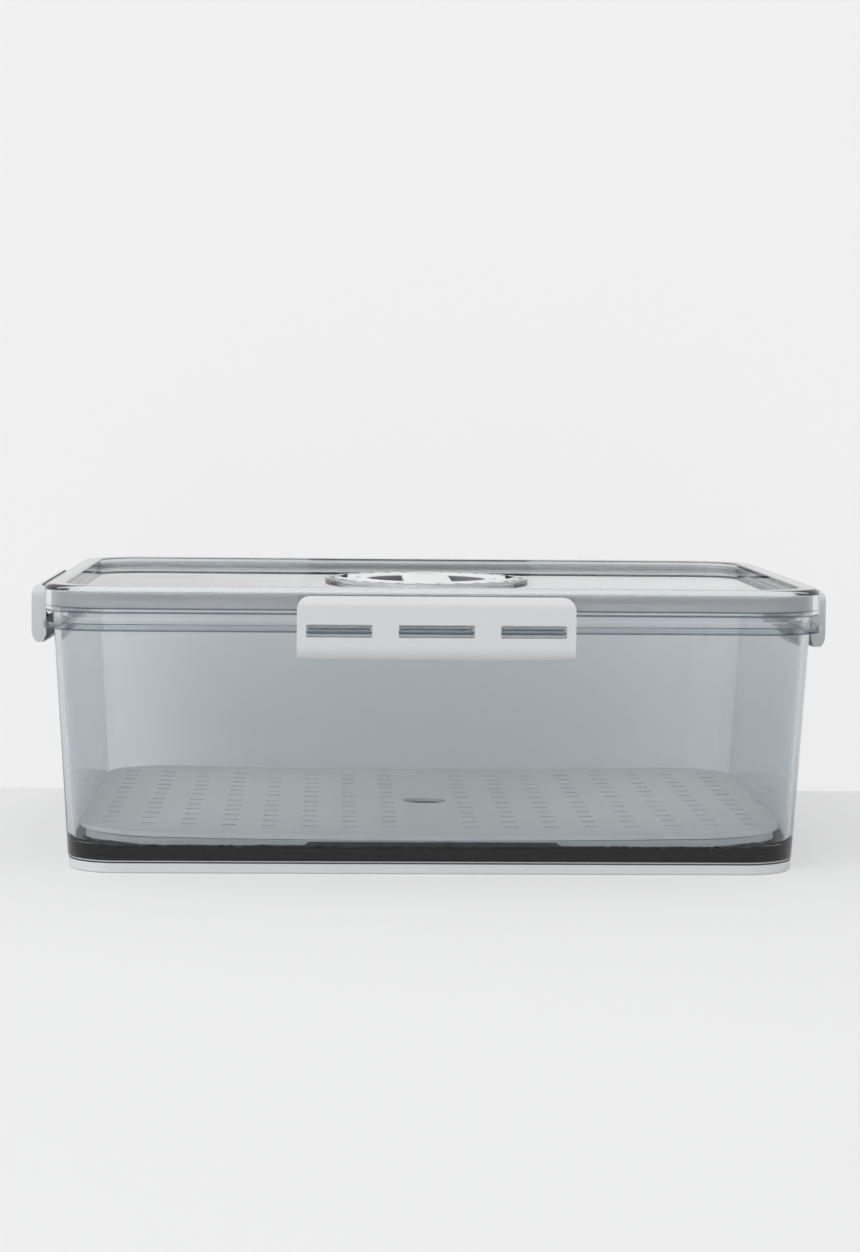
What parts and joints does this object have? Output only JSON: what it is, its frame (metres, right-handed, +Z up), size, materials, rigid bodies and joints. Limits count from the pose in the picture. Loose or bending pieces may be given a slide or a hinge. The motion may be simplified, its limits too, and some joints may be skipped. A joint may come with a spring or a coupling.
{
  "type": "food container with drain tray",
  "caption": "Rectangular clear food storage container with a sealed clear lid, snap latches on all sides, a turning date dial with vent knob, and a lift-out slotted drain tray.",
  "frame": {"origin": "on the table under the middle of the container", "axes": "+Z up, front latch faces -Y, long side along X"},
  "size_m": [0.3486, 0.2586, 0.1217],
  "materials": {
    "clear_tub": "clear blue-grey tinted plastic, polished",
    "clear_lid": "clear blue-grey tinted plastic, polished",
    "pale_plastic": "light grey moulded plastic, satin",
    "soft_seal": "translucent silicone, matte",
    "steel": "plain stainless steel"
  },
  "bodies": {
    "tub": {"tub": "clear_tub", "base_ring": "pale_plastic"},
    "tray": {"drain_tray": "pale_plastic"},
    "lid": {"lid": "clear_lid", "lid_gasket": "soft_seal", "scale_ring": "clear_lid", "vent_seal": "soft_seal"},
    "front_latch": {"front_latch": "pale_plastic"},
    "back_latch": {"back_latch": "pale_plastic"},
    "left_latch": {"left_latch": "pale_plastic"},
    "right_latch": {"right_latch": "pale_plastic"},
    "pointer_ring": {"pointer_ring": "pale_plastic"},
    "vent_knob": {"vent_knob": "pale_plastic", "knob_washer": "pale_plastic", "knob_screw": "steel"}
  },
  "joints": [
    {"name": "lid_lift", "type": "slide", "parent": "tub", "child": "lid", "axis": [0, 0, 1], "range_m": [0, 0.15]},
    {"name": "tray_lift", "type": "slide", "parent": "tub", "child": "tray", "axis": [0, 0, 1], "range_m": [0, 0.08]},
    {"name": "front_latch_swing", "type": "hinge", "parent": "lid", "child": "front_latch", "pos_m": [0, -0.1248, 0.1142], "axis": [-1, 0, 0], "range_deg": [0, 100]},
    {"name": "back_latch_swing", "type": "hinge", "parent": "lid", "child": "back_latch", "pos_m": [0, 0.1248, 0.1142], "axis": [1, 0, 0], "range_deg": [0, 100]},
    {"name": "left_latch_swing", "type": "hinge", "parent": "lid", "child": "left_latch", "pos_m": [-0.1698, 0, 0.1142], "axis": [0, 1, 0], "range_deg": [0, 100]},
    {"name": "right_latch_swing", "type": "hinge", "parent": "lid", "child": "right_latch", "pos_m": [0.1698, 0, 0.1142], "axis": [0, -1, 0], "range_deg": [0, 100]},
    {"name": "pointer_ring_turn", "type": "hinge", "parent": "lid", "child": "pointer_ring", "pos_m": [0, 0, 0.1177], "axis": [0, 0, 1], "continuous": true},
    {"name": "vent_knob_turn", "type": "hinge", "parent": "lid", "child": "vent_knob", "pos_m": [0, 0, 0.1139], "axis": [0, 0, 1], "range_deg": [0, 90]}
  ]
}
